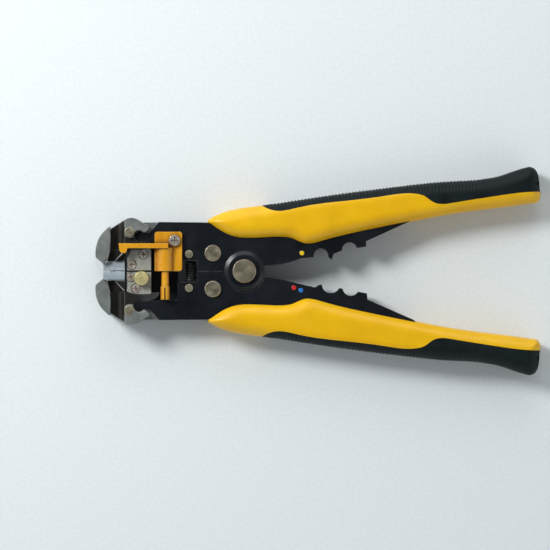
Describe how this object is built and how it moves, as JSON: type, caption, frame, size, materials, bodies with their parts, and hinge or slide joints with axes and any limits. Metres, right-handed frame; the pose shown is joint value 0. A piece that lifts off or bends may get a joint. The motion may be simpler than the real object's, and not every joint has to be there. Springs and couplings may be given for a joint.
{
  "type": "wire stripper",
  "caption": "Squeeze-action wire stripper with spring-closed gripper head, sliding blades, length stop, crimping jaws and two-colour handle grips.",
  "frame": {"origin": "centre of the main pivot, half way through the tool's thickness", "axes": "-X towards the wire mouth, +X towards the handle ends, +Y towards the upper arm, +Z out of the front face that carries the length stop"},
  "size_m": [0.2034, 0.0954, 0.0192],
  "materials": {
    "plate_black": "satin black oxide",
    "core_black": "satin black oxide",
    "grip_yellow": "smooth moulded plastic",
    "grip_black": "soft matte with fine ribs",
    "rivet_nickel": "turned nickel",
    "jaw_steel": "ground steel",
    "gripper_zinc": "cast grey zinc, satin",
    "pad_steel": "bright ground steel",
    "blade_steel": "ground steel",
    "cover_steel": "satin steel",
    "screw_steel": "nickel plated",
    "spring_steel": "drawn wire",
    "knob_brass": "turned brass",
    "stop_amber": "translucent amber plastic"
  },
  "bodies": {
    "lower_arm": {"lower_front_plate": "plate_black", "lower_back_plate": "plate_black", "lower_core": "core_black", "lower_grip": "grip_yellow", "lower_grip_backing": "grip_black", "lower_handle_rivets": "rivet_nickel", "lower_link_rivet": "rivet_nickel", "lower_spring_pin": "rivet_nickel", "main_rivet": "rivet_nickel", "hub_spacer": "jaw_steel", "return_spring": "spring_steel"},
    "upper_arm": {"upper_front_plate": "plate_black", "upper_back_plate": "plate_black", "upper_core": "core_black", "upper_grip": "grip_yellow", "upper_grip_backing": "grip_black", "upper_handle_rivets": "rivet_nickel", "upper_link_rivet": "rivet_nickel", "upper_spring_pin": "rivet_nickel"},
    "upper_jaw_arm": {"upper_jaw_arm": "jaw_steel"},
    "upper_gripper": {"upper_gripper": "gripper_zinc", "upper_gripper_pin": "rivet_nickel", "upper_grip_pad": "pad_steel"},
    "upper_blade_carriage": {"upper_blade_carriage": "jaw_steel"},
    "upper_blade_block": {"upper_blade_holder": "blade_steel", "upper_blade": "blade_steel", "upper_blade_cover": "cover_steel", "upper_cover_screws": "screw_steel"},
    "lower_jaw_arm": {"lower_jaw_arm": "jaw_steel"},
    "lower_gripper": {"lower_gripper": "gripper_zinc", "lower_gripper_pin": "rivet_nickel", "lower_grip_pad": "pad_steel"},
    "lower_blade_carriage": {"lower_blade_carriage": "jaw_steel"},
    "lower_blade_block": {"lower_blade_holder": "blade_steel", "lower_blade": "blade_steel", "lower_blade_cover": "cover_steel", "lower_cover_screws": "screw_steel"},
    "adjusting_knob": {"adjusting_knob": "knob_brass"},
    "length_stop": {"length_stop": "stop_amber", "stop_screw": "screw_steel", "stop_nut": "screw_steel"}
  },
  "joints": [
    {"name": "handle_squeeze", "type": "hinge", "parent": "lower_arm", "child": "upper_arm", "pos_m": [0, 0, 0], "axis": [0, 0, -1], "range_deg": [0, 15], "stiffness_Nm_per_rad": 0.6, "springref_deg": -20.05, "deforming": ["return_spring"]},
    {"name": "upper_jaw_turn", "type": "hinge", "parent": "upper_arm", "child": "upper_jaw_arm", "pos_m": [-0.0144, 0.0082, 0], "axis": [0, 0, 1], "range_deg": [0, 10]},
    {"name": "upper_grip_open", "type": "hinge", "parent": "upper_jaw_arm", "child": "upper_gripper", "pos_m": [-0.0524, 0.0179, 0], "axis": [0, 0, -1], "range_deg": [0, 8]},
    {"name": "upper_strip_slide", "type": "slide", "parent": "upper_jaw_arm", "child": "upper_blade_carriage", "axis": [1, 0, 0], "range_m": [0, 0.003]},
    {"name": "upper_blade_open", "type": "slide", "parent": "upper_blade_carriage", "child": "upper_blade_block", "axis": [0, 1, 0], "range_m": [0, 0.0012]},
    {"name": "lower_jaw_turn", "type": "hinge", "parent": "lower_arm", "child": "lower_jaw_arm", "pos_m": [-0.0144, -0.0082, 0], "axis": [0, 0, -1], "range_deg": [0, 10]},
    {"name": "lower_grip_open", "type": "hinge", "parent": "lower_jaw_arm", "child": "lower_gripper", "pos_m": [-0.0524, -0.0179, 0], "axis": [0, 0, 1], "range_deg": [0, 8]},
    {"name": "lower_strip_slide", "type": "slide", "parent": "lower_jaw_arm", "child": "lower_blade_carriage", "axis": [1, 0, 0], "range_m": [0, 0.003]},
    {"name": "lower_blade_open", "type": "slide", "parent": "lower_blade_carriage", "child": "lower_blade_block", "axis": [0, -1, 0], "range_m": [0, 0.0012]},
    {"name": "knob_turn", "type": "hinge", "parent": "lower_blade_block", "child": "adjusting_knob", "pos_m": [-0.0469, -0.0033, 0], "axis": [0, 0, 1], "range_deg": [-180, 180]},
    {"name": "stop_slide", "type": "slide", "parent": "upper_arm", "child": "length_stop", "axis": [1, 0, 0], "range_m": [-0.001, 0.0011]}
  ],
  "couplings": [
    {"joint": "upper_jaw_turn", "follows": "handle_squeeze", "ratio": 0.64},
    {"joint": "upper_strip_slide", "follows": "handle_squeeze", "m_per_rad": 0.0075},
    {"joint": "lower_jaw_turn", "follows": "handle_squeeze", "ratio": 0.64},
    {"joint": "lower_strip_slide", "follows": "handle_squeeze", "m_per_rad": 0.0075},
    {"joint": "lower_grip_open", "follows": "upper_grip_open", "ratio": 1},
    {"joint": "upper_blade_open", "follows": "upper_grip_open", "m_per_rad": 0.008},
    {"joint": "lower_blade_open", "follows": "upper_grip_open", "m_per_rad": 0.008}
  ]
}
